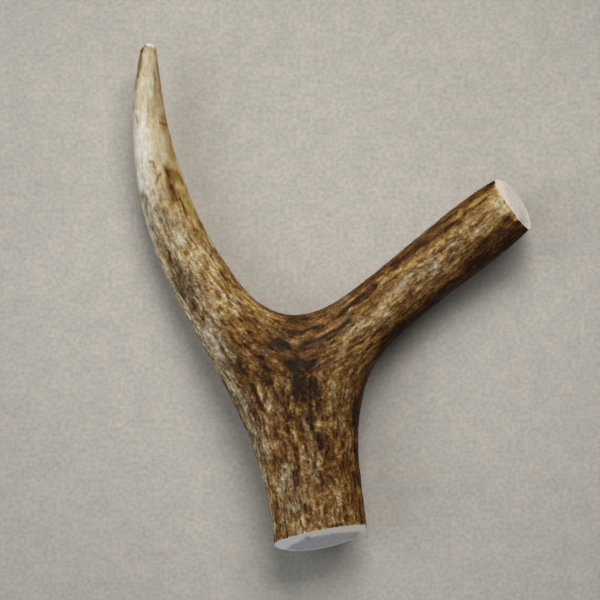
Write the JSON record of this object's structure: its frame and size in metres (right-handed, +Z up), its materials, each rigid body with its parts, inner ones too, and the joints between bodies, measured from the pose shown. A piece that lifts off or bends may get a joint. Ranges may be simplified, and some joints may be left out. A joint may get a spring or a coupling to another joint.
{
  "type": "deer antler fork",
  "caption": "Short forked piece of deer antler with a sawn lower beam, a sawn upper beam and one long curved tine, lying on its side.",
  "frame": {"origin": "centre of the outline in plan, at the height of the surface it lies on", "axes": "+Y from the sawn lower end towards the tine's tip, +X towards the sawn upper beam, +Z up, away from the surface"},
  "size_m": [0.1302, 0.1666, 0.027],
  "materials": {
    "antler": "dry satin antler bark: brown grooved beam, ivory polished tine, sawn ends cream with a grey spongy core"
  },
  "bodies": {
    "root": {"lower_beam": "antler", "upper_beam": "antler", "tine": "antler"}
  },
  "joints": []
}
